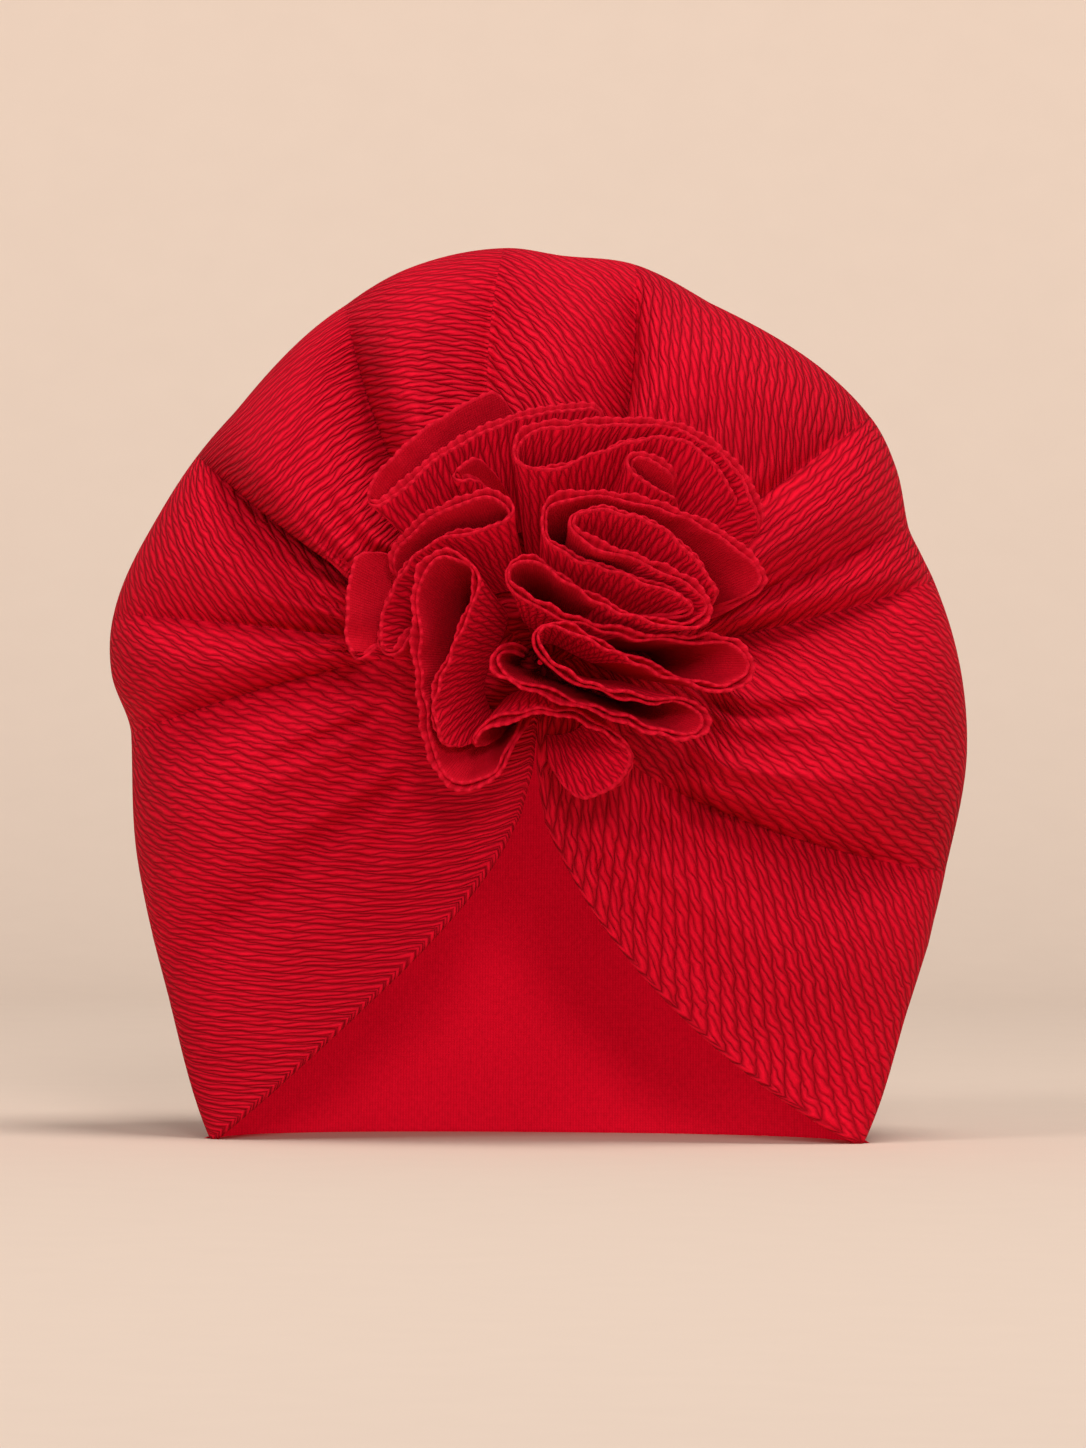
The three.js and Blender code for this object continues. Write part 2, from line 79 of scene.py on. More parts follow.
corner_fall = math.degrees(math.atan2(gather_height, corner_half_width))
right_corner, left_corner = -corner_fall, 180 + corner_fall
corner_reach = math.hypot(gather_height, corner_half_width)

fold_columns = ("kind", "angle", "sweep", "curl", "reach", "rise", "lean")
folds = {
    "right edge": ("edge", right_corner, -31, -21.6, corner_reach, 0, 0),
    "right flap": ("crest", -43, -25, -20, 111.2, 5, 0),
    "flap valley": ("valley", -27, -20, -20, 100.8, -8, 0),
    "right puff": ("crest", -11, -15, -15, 96.2, 11, -4),
    "right crease": ("valley", 12, -8, 0, 88.8, -7, 0),
    "narrow ridge": ("crest", 16, -6, 0, 87.4, 0, 0),
    "ridge crease": ("valley", 20.5, -6, 0, 86.6, -4, 0),
    "narrow puff": ("crest", 29, -4, 0, 89.4, 6, 0),
    "soft valley": ("valley", 37, 0, 0, 90.7, -5, 0),
    "great puff": ("crest", 63, -6, 0, 87.4, 11, 5),
    "top crease": ("valley", 77, -17, 0, 90.1, -10, 0),
    "top puff": ("crest", 87, -2, 0, 89.6, 4, 0),
    "upper crease": ("valley", 95.5, 18, 0, 91.6, -6, 0),
    "upper puff": ("crest", 108, 16, 0, 91.4, 8, 4),
    "left crease": ("valley", 119, 20, 0, 89.7, -10, 0),
    "left puff": ("crest", 138, 15, 0, 86.9, 12, 6),
    "deep crease": ("valley", 149.5, 12, 0, 88.4, -12, 0),
    "low ridge": ("crest", 160, 5, 0, 90.4, 1, 0),
    "side valley": ("valley", 174, -2, 0, 94.9, -7, 0),
    "side ridge": ("crest", 182, -7, -6, 94.8, 4, 0),
    "low crease": ("valley", 190.5, -12, -14, 91.9, -7, 0),
    "left flap": ("crest", 207, -2, 0, 99.2, 6, 0),
    "flap dip": ("valley", 219, 4, 8, 107, -1, 0),
    "flap ridge": ("crest", 226, 9, 16, 114, 3, 0),
    "left edge": ("edge", left_corner, 17.6, 33.2, corner_reach, 0, 0),
}
fold_kinds = [row[0] for row in folds.values()]
fold_table = {
    key: np.array([row[n] for row in folds.values()], dtype=float)
    for n, key in enumerate(fold_columns)
    if key != "kind"
}


def smooth(share):
    share = np.clip(share, 0.0, 1.0)
    return share * share * (3 - 2 * share)


def mix(a, b, share):
    return a + (b - a) * share


def about_gather(angle, radius, y):
    """A point at an angle and a radius about the gather, at the depth y."""
    turn = np.radians(angle)
    x, y, z = np.broadcast_arrays(radius * np.cos(turn), y, gather_height + radius * np.sin(turn))
    return np.stack([x, y, z], axis=-1)


def outline_reach(angle):
    """How far the folded outline is from the gather: a smooth curve through the folds' reaches."""
    angles, reach = fold_table["angle"], fold_table["reach"]
    last = len(angles) - 1
    n = np.clip(np.searchsorted(angles, angle) - 1, 0, last - 1)
    before, after = np.maximum(np.arange(last + 1) - 1, 0), np.minimum(np.arange(last + 1) + 1, last)
    slope = (reach[after] - reach[before]) / (angles[after] - angles[before])
    span = angles[n + 1] - angles[n]
    q = np.clip((angle - angles[n]) / span, 0, 1)
    leaving = 2 * q**3 - 3 * q**2 + 1
    curve = leaving * reach[n] + (1 - leaving) * reach[n + 1]
    return curve + (q**3 - 2 * q**2 + q) * span * slope[n] + (q**3 - q**2) * span * slope[n + 1]


def plain_reach(angle):
    """The outline without its folds, which the seam and the back panel follow."""
    span = np.minimum(outline_blend, np.minimum(angle - right_corner, left_corner - angle))
    samples = range(-blend_samples, blend_samples + 1)
    return sum(outline_reach(angle + span * k / blend_samples) for k in samples) / len(samples)


def height_share(z):
    return np.sin(np.pi / 2 * np.clip(z / gather_height, 0, 1))


def side_depth(z):
    return mix(tip_y, side_y, height_share(z))


def half_width(x, z):
    """The plain outline's half width at the height z, on the side that x is on."""
    level = np.where(x < 0, 180.0, 0.0)
    corner = np.where(x < 0, left_corner, right_corner)
    low, high = np.zeros_like(x), np.ones_like(x)
    for _ in range(width_halvings):
        share = (low + high) / 2
        angle = mix(corner, level, share)
        under = about_gather(angle, plain_reach(angle), 0)[..., 2] < z
        low, high = np.where(under, share, low), np.where(under, high, share)
    angle = mix(corner, level, low)
    return np.abs(about_gather(angle, plain_reach(angle), 0)[..., 0])


def back_point(angle, radius):
    """A point on the back panel's dome, or on the wrap's turn toward it."""
    point = about_gather(angle, radius, 0.0)
    x, z = point[..., 0], point[..., 2]
    domed = radius / plain_reach(np.clip(angle, right_corner, left_corner))
    level = np.abs(x) / half_width(x, np.maximum(z, 0))
    share = np.minimum(np.where(z > gather_height, domed, level), 1)
    dome = (1 - share**back_power) ** (1 / back_power)
    point[..., 1] = mix(side_depth(z), mix(hem_y, back_y, height_share(z)), dome)
    return point


def seam_turn(angle):
    """How far round toward the back the seam lies, in degrees from the outline."""
    outline_height = about_gather(angle, outline_reach(angle), 0)[..., 2]
    return mix(seam_turn_at_corner, seam_turn_full, height_share(outline_height))


def inward_share(turn):
    return np.cos(np.radians(turn)) ** (2 / back_power)


def backward_share(turn):
    return np.sin(np.radians(turn)) ** (2 / back_power)


wrap_step = 0.55
wrap_front_rows, wrap_seam_rows = 62, 15
row_crowding, row_past_seam = 1.6, 1.3
flat_radii = (gather_hole, 14.0, 24.0, dish_radius)
pleat_depth, pleat_waves = 1.3, ((1.0, 41, 0, 2.0, 5), (0.6, 67, 40, 1.5, 7))
pleats_begin, pleats_full, pleats_fade, pleats_end = 0.02, 0.14, 0.16, 0.71
wrinkle_depth, wrinkle_waves, wrinkle_drift = 1.0, (17, 30, 2.2, 3), 1.3
wrinkles_full, wrinkles_lost = 0.2, 0.6
column_parts = {key: [] for key in ("angle", "sweep", "curl", "rise", "lean")}
for n in range(len(fold_kinds) - 1):
    span = fold_table["angle"][n + 1] - fold_table["angle"][n]
    q = np.linspace(0, 1, max(6, round(span / wrap_step)), endpoint=n == len(fold_kinds) - 2)
    blend = smooth(q)
    if fold_kinds[n] == "valley":
        blend = np.sin(q * np.pi / 2) ** fold_roundness
    if fold_kinds[n + 1] == "valley":
        blend = 1 - np.sin((1 - q) * np.pi / 2) ** fold_roundness
    for key, parts in column_parts.items():
        share = blend if key in ("rise", "lean") else q
        parts.append(mix(fold_table[key][n], fold_table[key][n + 1], share))
wrap = {key: np.concatenate(parts) for key, parts in column_parts.items()}
wrap_reach = outline_reach(wrap["angle"])


def wave(angle, count, start, wander, slow_count):
    """count waves a turn, whose places wander slowly, so that no two are alike."""
    return np.radians(angle * count + start) + wander * np.sin(np.radians(angle * slow_count))


def gather_pleats(angle, share):
    """Fine pleats close to the flower, and soft wrinkles that run on toward the outline."""
    pleats = sum(size * np.sin(wave(angle, *rest)) for size, *rest in pleat_waves)
    pleats_rise = smooth((share - pleats_begin) / (pleats_full - pleats_begin))
    pleats_fall = 1 - smooth((share - pleats_fade) / (pleats_end - pleats_fade))
    wrinkles = np.sin(wave(angle, *wrinkle_waves) + wrinkle_drift * share)
    wrinkles_rise, wrinkles_fall = smooth(share / wrinkles_full), 1 - wrinkles_lost * smooth(share)
    soft = wrinkle_depth * wrinkles * wrinkles_rise * wrinkles_fall
    return pleat_depth * pleats * pleats_rise * pleats_fall + soft


def front_points(radius, strength, folded):
    """One point of each column of the wrap's front, at the given radii."""
    inward = np.minimum(1 - radius / wrap_reach, sweep_limit)
    angle = wrap["angle"] + wrap["sweep"] * inward + wrap["curl"] * inward**3
    share = np.clip((radius - dish_radius) / (wrap_reach - dish_radius), 0, 1)
    side = side_depth(about_gather(wrap["angle"], wrap_reach, 0)[..., 2])
    depth = side - (side - dish_y) * (1 - share**front_power) ** (1 / front_power)
    depth = depth - folded * (wrap["rise"] * strength + gather_pleats(wrap["angle"], share))
    point = about_gather(angle, radius, depth)
    turn = np.radians(angle)
    point[..., 0] -= np.sin(turn) * wrap["lean"] * strength
    point[..., 2] += np.cos(turn) * wrap["lean"] * strength
    return point


def wrap_rows(folded):
    """Rows of points from the gather to the seam and one past it. folded 0 leaves out the folds."""
    rows = [front_points(np.full_like(wrap_reach, r), 0.0, folded) for r in flat_radii]
    for share in 1 - (1 - np.arange(1, wrap_front_rows + 1) / wrap_front_rows) ** row_crowding:
        strength = smooth(share / fold_full_from)
        strength *= 1 - (1 - fold_at_outline) * smooth((share - fold_ease_from) / (1 - fold_ease_from))
        rows.append(front_points(mix(dish_radius, wrap_reach, share), strength, folded))
    turn, plain = seam_turn(wrap["angle"]), plain_reach(wrap["angle"])
    seam = back_point(wrap["angle"], plain * inward_share(turn))
    for share in np.append(np.arange(1, wrap_seam_rows + 1) / wrap_seam_rows, row_past_seam):
        reach = mix(wrap_reach, plain, smooth(share))
        point = about_gather(wrap["angle"], reach * inward_share(turn * share), 0.0)
        seamward = backward_share(turn * share) / backward_share(turn)
        point[..., 1] = mix(side_depth(point[..., 2]), seam[..., 1], seamward)
        point[..., 1] -= folded * wrap["rise"] * fold_at_outline * (1 - smooth(share))
        rows.append(point)
    return np.array(rows)


def inward_normals(grid, ring):
    """Normals of a grid of points. ring is true where its last column meets its first."""
    if ring:
        along = np.roll(grid, -1, axis=1) - np.roll(grid, 1, axis=1)
    else:
        padded = np.concatenate([grid[:, :1], grid, grid[:, -1:]], axis=1)
        along = padded[:, 2:] - padded[:, :-2]
    padded = np.concatenate([grid[:1], grid, grid[-1:]], axis=0)
    normal = np.cross(along, padded[2:] - padded[:-2])
    return normal / np.maximum(np.linalg.norm(normal, axis=-1, keepdims=True), 1e-9)


# Each run of ribs goes from one fold to another, and its direction is that of its ribs in the
# picture, in degrees from the right-hand side, as measured on the fold named as its crest.
rib_columns = ("first", "last", "crest", "direction")
rib_runs = [
    dict(zip(rib_columns, row))
    for row in (
        ("right edge", "flap valley", "right flap", -69),
        ("flap valley", "right crease", "right puff", -35),
        ("right crease", "soft valley", "narrow puff", 34),
        ("soft valley", "top crease", "great puff", 84),
        ("top crease", "upper crease", "top puff", -60),
        ("upper crease", "left crease", "upper puff", -24),
        ("left crease", "deep crease", "left puff", 19),
        ("deep crease", "side valley", "low ridge", -60),
        ("side valley", "low crease", "side ridge", -30),
        ("low crease", "left edge", "left flap", -19),
    )
]


def lengths(points, axis):
    """How far along an axis of a grid each of its points is."""
    steps = np.linalg.norm(np.diff(points, axis=axis), axis=-1)
    start = np.zeros_like(np.take(steps, [0], axis=axis))
    return np.concatenate([start, np.cumsum(steps, axis=axis)], axis=axis)


def fold_column(name):
    return int(np.argmin(np.abs(wrap["angle"] - fold_table["angle"][list(folds).index(name)])))


crest_row_low, crest_row_high = 18, 46
plain_grid = wrap_rows(0.0)[:-1]
front_length, front_arc = lengths(plain_grid, 0), lengths(plain_grid, 1)
wrap_uv = np.zeros(plain_grid[:, :-1].shape[:2] + (2, 2))
for run in rib_runs:
    first, last, crest = (fold_column(run[key]) for key in ("first", "last", "crest"))
    low, high = plain_grid[crest_row_low, crest], plain_grid[crest_row_high, crest]
    outward = math.degrees(math.atan2(high[2] - low[2], high[0] - low[0]))
    turn = math.radians(run["direction"] - outward)
    arc = front_arc - front_arc[:, [crest]]
    along = math.cos(turn) * front_length + math.sin(turn) * arc
    across = math.cos(turn) * arc - math.sin(turn) * front_length
    both = np.stack([along, across], axis=-1)
    wrap_uv[:, first:last, 0] = both[:, first:last]
    wrap_uv[:, first:last, 1] = both[:, first + 1 : last + 1]


def edge_round(outer, inner, outward, steps=5):
    """Points half-way round an edge, from the cloth's outer face to its inner one."""
    middle, half = (outer + inner) / 2, (outer - inner) / 2
    reach = np.linalg.norm(half, axis=-1, keepdims=True)
    turns = np.pi * np.arange(1, steps) / steps
    return [middle + half * math.cos(t) + outward * reach * math.sin(t) for t in turns]


def unit(vectors):
    return vectors / np.maximum(np.linalg.norm(vectors, axis=-1, keepdims=True), 1e-9)


class Cloth:
    """Quads of one piece of cloth, with the ribs' own measures at each corner."""

    def __init__(self):
        self.points, self.faces, self.uvs, self.finishes = [], [], [], []
        self.count = 0

    def add_points(self, points):
        flat = np.asarray(points, dtype=float).reshape(-1, 3)
        self.points.append(flat)
        ids = np.arange(self.count, self.count + len(flat)).reshape(np.shape(points)[:-1])
        self.count += len(flat)
        return ids

    def add_quads(self, a, b, c, d, uvs, finish):
        corners = np.stack([a, b, c, d], axis=-1).reshape(-1, 4)
        self.faces.append(corners)
        self.uvs.append(np.broadcast_to(uvs, corners.shape + (2,)).reshape(-1, 4, 2))
        self.finishes.append(np.full(len(corners), finish))

    def add_grid(self, ids, uvs, finish):
        """uvs holds, for each row and each step between columns, both sides' measures."""
        corner_uvs = np.stack([uvs[:-1, :, 0], uvs[:-1, :, 1], uvs[1:, :, 1], uvs[1:, :, 0]], axis=-2)
        self.add_quads(
            ids[:-1, :-1], ids[:-1, 1:], ids[1:, 1:], ids[1:, :-1], corner_uvs.reshape(-1, 4, 2), finish
        )

    def close_end(self, ring, finish):
        """Fills a ring of points that runs up one side of an edge and down the other."""
        for k in range((len(ring) - 1) // 2):
            corners = (ring[k], ring[k + 1], ring[-2 - k], ring[-1 - k])
            self.add_quads(*[np.array([corner]) for corner in corners], np.zeros((1, 4, 2)), finish)

    def piece(self, name, materials):
        points = np.concatenate(self.points) - hat_middle
        points[:, 2] = np.maximum(points[:, 2], 0.0)
        mesh = bpy.data.meshes.new(name)
        mesh.from_pydata((points / 1000).tolist(), [], np.concatenate(self.faces).tolist())
        layer = mesh.uv_layers.new(name="cloth")
        layer.data.foreach_set("uv", np.concatenate(self.uvs).reshape(-1))
        mesh.polygons.foreach_set("material_index", np.concatenate(self.finishes).astype(np.int32))
        mesh.polygons.foreach_set("use_smooth", np.ones(len(mesh.polygons), dtype=bool))
        solid = bmesh.new()
        solid.from_mesh(mesh)
        bmesh.ops.dissolve_degenerate(solid, dist=1e-7, edges=solid.edges)
        bmesh.ops.recalc_face_normals(solid, faces=solid.faces)
        solid.to_mesh(mesh)
        solid.free()
        for material in materials:
            mesh.materials.append(material)
        made = bpy.data.objects.new(name, mesh)
        bpy.context.scene.collection.objects.link(made)
        return made


class Shade:
    """One output of a material's node. Arithmetic on it adds Math nodes, node adds any other."""

    def __init__(self, tree, socket=None):
        self.tree, self.socket = tree, socket

    def node(self, kind, settings=(), inputs=(), output=0):
        made = self.tree.nodes.new(kind)
        for key, value in dict(settings).items():
            setattr(made, key, value)
        for key, value in dict(inputs).items():
            if isinstance(value, Shade):
                self.tree.links.new(value.socket, made.inputs[key])
            else:
                made.inputs[key].default_value = value
        return Shade(self.tree, made.outputs[output] if made.outputs else None)

    def maths(self, operation, *values):
        return self.node("ShaderNodeMath", {"operation": operation}, dict(enumerate(values)))

    def __add__(self, other):
        return self.maths("ADD", self, other)

    __radd__ = __add__

    def __mul__(self, other):
        return self.maths("MULTIPLY", self, other)

    __rmul__ = __mul__

    def __sub__(self, other):
        return self.maths("SUBTRACT", self, other)

    def __rsub__(self, other):
        return self.maths("SUBTRACT", other, self)

    def __truediv__(self, other):
        return self.maths("DIVIDE", self, other)

    def __pow__(self, other):
        return self.maths("POWER", self, other)

    def __abs__(self):
        return self.maths("ABSOLUTE", self)

    def cosine(self):
        return self.maths("COSINE", self)

    def floor(self):
        return self.maths("FLOOR", self)

    def fraction(self):
        return self.maths("FRACT", self)


def cloth_measures(shade):
    """The ribs' own measures in millimetres: both together, along the ribs and across them."""
    place = shade.node("ShaderNodeUVMap", {"uv_map": "cloth"})
    along = shade.node("ShaderNodeSeparateXYZ", inputs={"Vector": place}, output=0)
    across = shade.node("ShaderNodeSeparateXYZ", inputs={"Vector": place}, output=1)
    return place, along, across


def patches(shade, place, scale, detail=2.0):
    """A soft, uneven share from 0 to 1."""
    inputs = {"Vector": place, "Scale": scale, "Detail": detail, "Roughness": 0.55}
    return shade.node("ShaderNodeTexNoise", {"noise_dimensions": "2D"}, inputs)


def cloth_surface(shade, colour, relief, depth, roughness, painted_glow=0.0):
    """Emission here is painted light: the cloth shines in its own colour, standing in for light that comes
    through thin cloth from behind.
    """
    bump = shade.node("ShaderNodeBump", inputs={"Strength": 1.0, "Distance": depth, "Height": relief})
    inputs = {
        "Base Color": colour,
        "Roughness": roughness,
        "Specular IOR Level": 0.07,
        "Sheen Weight": 0.03,
        "Sheen Tint": (1.0, 0.03, 0.1, 1.0),
        "Emission Color": colour,
        "Emission Strength": painted_glow,
        "Normal": bump,
    }
    surface = shade.node("ShaderNodeBsdfPrincipled", inputs=inputs)
    shade.node("ShaderNodeOutputMaterial", inputs={"Surface": surface})


def new_cloth(name):
    material = bpy.data.materials.new(name)
    material.use_nodes = True
    material.node_tree.nodes.clear()
    return material, Shade(material.node_tree)


def tinted(shade, dark, light, share):
    inputs = {0: share, 6: (*dark, 1.0), 7: (*light, 1.0)}
    return shade.node("ShaderNodeMix", {"data_type": "RGBA"}, inputs, 2)


rib_spacing, grain_length, grain_slant = 2.24, 4.8, 1.55
rib_drifts = ((1.5, 0.045), (0.9, 0.22))
grain_stagger, grain_scatter, grain_stretch = 0.41, 0.3, 0.9
grain_roundness, rib_roundness = 0.8, 0.6
rib_between_grains, strand_height, rib_relief = 0.28, 0.4, 0.0008
# The ribs' two colours: painted shade for the grooves and a painted highlight for the crests, with the
# yarn's own uneven tone between.
rib_groove_shade_and_dark_yarn, rib_crest_highlight_and_pale_yarn = (0.24, 0.0002, 0.004), (0.80, 0.0028, 0.023)


def ribbed_knit(name, painted_glow):
    """The face of the knit: raised ribs, each a row of slanted, overlapping grains."""
    material, shade = new_cloth(name)
    place, along, across = cloth_measures(shade)
    for drift, scale in rib_drifts:
        across = across + drift * (patches(shade, place, scale, 1.0) - 0.5)
    rib = across / rib_spacing
    beside = rib.fraction() - 0.5
    shift = shade.node("ShaderNodeTexWhiteNoise", {"noise_dimensions": "1D"}, {"W": rib.floor()})
    stretch = patches(shade, place, 0.16, 1.0) - 0.5
    grain = along / grain_length + rib.floor() * grain_stagger + shift * grain_scatter
    grain = grain + stretch * grain_stretch - beside * grain_slant
    grain_crown = (1.0 - (grain.fraction() * 2.0 - 1.0) ** 2.0) ** grain_roundness
    rib_crown = (beside * math.pi).cosine() ** rib_roundness
    strand_run = {"X": along * 0.35 + beside * 0.6, "Y": across * 3.0 - along * 0.8}
    strands = patches(shade, shade.node("ShaderNodeCombineXYZ", inputs=strand_run), 1.0, 3.0) - 0.5
    height = rib_crown * (rib_between_grains + (1 - rib_between_grains) * grain_crown)
    height = height + strand_height * strands * rib_crown
    # Painted shade and painted highlight: the colour darkens down into the grooves between ribs and grains
    # and lightens on their crests. The noise and the strands add the yarn's own uneven tone.
    tone = 0.14 + 0.82 * height + 0.4 * (patches(shade, place, 0.02, 3.0) - 0.5) + 0.35 * strands
    colour = tinted(shade, rib_groove_shade_and_dark_yarn, rib_crest_highlight_and_pale_yarn, tone)
    cloth_surface(shade, colour, height, rib_relief, 0.85 - 0.1 * height, painted_glow)
    return material


crinkle_knit = ribbed_knit("crinkle_knit", 0.0)

stitch_width, stitch_height, stitch_slant = 0.62, 0.55, 1.1
stitch_relief = 0.0002
reverse_dark, reverse_light = (0.34, 0.0006, 0.006), (0.68, 0.0026, 0.019)


def smooth_knit(name, painted_glow):
    """The plain side of the knit, in fine upright stitches."""
    material, shade = new_cloth(name)
    place, along, across = cloth_measures(shade)
    beside = (across / stitch_width).fraction() - 0.5
    leg = (along / stitch_height + abs(beside) * stitch_slant).fraction() - 0.5
    stitch = (1.0 - (beside * 2.0) ** 2.0 * 0.9) * (1.0 - abs(leg) * 1.2)
    fuzz = patches(shade, place, 0.9, 4.0) - 0.5
    relief = stitch * 0.7 + fuzz * 0.8
    tone = 0.36 + 0.4 * stitch + 0.4 * (patches(shade, place, 0.03, 3.0) - 0.5) + 0.5 * fuzz
    colour = tinted(shade, reverse_dark, reverse_light, tone)
    cloth_surface(shade, colour, relief, stitch_relief, 0.85 - 0.06 * stitch, painted_glow)
    return material


smooth_reverse = smooth_knit("smooth_reverse", 0.0)

RIBBED, SMOOTH, EDGED = 0, 1, 2


def wrap_piece(grid, uvs, name):
    """The wrap from its outer points, with both edges rounded. The row past the seam is dropped."""
    outer, inner = grid[:-1], (grid + inward_normals(grid, False) * wall)[:-1]
    right_out = unit(outer[:, 0] - outer[:, 1])
    left_out = unit(outer[:, -1] - outer[:, -2])
    right_arc = edge_round(outer[:, 0], inner[:, 0], right_out)
    left_arc = edge_round(outer[:, -1], inner[:, -1], left_out)
    cloth = Cloth()
    outer_ids, inner_ids = cloth.add_points(outer), cloth.add_points(inner)
    cloth.add_grid(outer_ids, uvs, RIBBED)
    cloth.add_grid(inner_ids, uvs, SMOOTH)
    for arc, side, uv_start in ((right_arc, 0, uvs[:, 0, 0]), (left_arc, -1, uvs[:, -1, 1])):
        arc_ids = [outer_ids[:, side]] + [cloth.add_points(a) for a in arc] + [inner_ids[:, side]]
        drift = np.array([0.0, wall * np.pi / 2 / (len(arc) + 1)])
        for k in range(len(arc_ids) - 1):
            strip = np.stack([arc_ids[k], arc_ids[k + 1]], axis=1)
            strip_uv = np.stack([uv_start + drift * k, uv_start + drift * (k + 1)], axis=1)[:, None]
            cloth.add_grid(strip, strip_uv, RIBBED)
        for row in (0, -1):
            cloth.close_end([ids[row] for ids in arc_ids], RIBBED)
    for row in (0, -1):
        rim_uv = np.stack([uvs[row, :, side] for side in (0, 1, 1, 0)], axis=-2)
        face, back = outer_ids[row], inner_ids[row]
        cloth.add_quads(face[:-1], face[1:], back[1:], back[:-1], rim_uv, RIBBED)
    return cloth.piece(name, (crinkle_knit, smooth_reverse))


front_wrap = wrap_piece(wrap_rows(1.0), wrap_uv, "front_wrap")
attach(front_wrap, "root")
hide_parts("crown_front")

# Back panel
# A plain piece of the same knit, ribs outside and the smooth reverse inside. It is seamed
# to the wrap all round, and its turned hem closes the V under the gather and carries the hat.
seam_gap = 0.8
hem_steps, back_steps = 150, 46
back_crowding, back_reach = 1.25, 0.97
past_seam_turn, past_hem = 0.7, 1.03
rim_bulge, rim_steps = 0.4, 4
back_rows = np.arange(back_steps) / back_steps
back_rows = 1 - back_rows**back_crowding * back_reach
edge_angles, edge_radii, edge_past = [], [], []
seam_angles = wrap["angle"][::2]
turn = seam_turn(seam_angles) + math.degrees(seam_gap / (back_y - side_y))
edge_angles.append(seam_angles)
edge_radii.append(plain_reach(seam_angles) * inward_share(turn))
edge_past.append(plain_reach(seam_angles) * inward_share(turn * past_seam_turn))
hem_x = -corner_half_width * np.cos(np.pi * np.arange(1, hem_steps) / hem_steps)
edge_angles.append(270 + np.degrees(np.arctan2(hem_x, gather_height)))
edge_radii.append(np.hypot(hem_x, gather_height))
edge_past.append(np.hypot(hem_x, gather_height) * past_hem)
edge_angles, edge_radii, edge_past = map(np.concatenate, (edge_angles, edge_radii, edge_past))

back_grid = np.array(
    [back_point(edge_angles, edge_past)] + [back_point(edge_angles, edge_radii * row) for row in back_rows]
)
back_inner = (back_grid + inward_normals(back_grid, True) * wall)[1:]
back_outer = back_grid[1:]
hem_part = slice(len(seam_angles), None)
back_inner[0, hem_part, 2] = 0.0

cloth = Cloth()
rim_outward = unit(back_grid[0] - back_grid[1]) * rim_bulge
rim = edge_round(back_outer[0], back_inner[0], rim_outward, rim_steps)
rows = np.concatenate([back_outer[::-1], np.array(rim), back_inner])
rows = np.concatenate([rows, rows[:, :1]], axis=1)
ids = cloth.add_points(rows[:, :-1])
ids = np.concatenate([ids, ids[:, :1]], axis=1)
back_rib_direction = math.radians(-32)
back_widening, widening_reach, widening_power = 0.25, 90, 4
mirrored_x = -rows[..., 0]
upward = rows[..., 2] - gather_height
outward_share = np.clip(np.hypot(mirrored_x, upward) / widening_reach, 0, 1)
widened = 1 + back_widening * outward_share**widening_power
along = (mirrored_x * math.cos(back_rib_direction) + upward * math.sin(back_rib_direction)) * widened
across = (upward * math.cos(back_rib_direction) - mirrored_x * math.sin(back_rib_direction)) * widened
measures = np.stack([along, across], axis=-1)
straight = np.stack([rows[..., 2], rows[..., 0]], axis=-1)
outer_count = len(back_outer) + 2
pairs = np.stack([measures[:, :-1], measures[:, 1:]], axis=2)
plain_pairs = np.stack([straight[:, :-1], straight[:, 1:]], axis=2)
cloth.add_grid(ids[:outer_count], pairs[:outer_count], RIBBED)
cloth.add_grid(ids[outer_count - 1 :], plain_pairs[outer_count - 1 :], SMOOTH)
for row, finish, sheet_uv in ((0, RIBBED, measures), (-1, SMOOTH, straight)):
    tip = np.array([0.0, back_y if row == 0 else back_y - wall, gather_height])
    tip_id = cloth.add_points(tip[None])[0]
    tip_uv = np.tile([0.0, 0.0] if row == 0 else [gather_height, 0.0], (len(ids[0]) - 1, 1))
    fan_uv = np.stack([sheet_uv[row, :-1], sheet_uv[row, 1:], tip_uv, tip_uv], axis=-2)
    tips = np.full(len(ids[0]) - 1, tip_id)
    cloth.add_quads(ids[row, :-1], ids[row, 1:], tips, tips, fan_uv, finish)
# The back panel's inner face glows faintly in its own colour: painted light inside the hollow, standing in
# for light that comes through the thin cloth.
back_panel = cloth.piece("back_panel", (crinkle_knit, smooth_knit("smooth_lining_painted_glow", 0.5)))
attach(back_panel, "root")
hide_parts("crown_back")

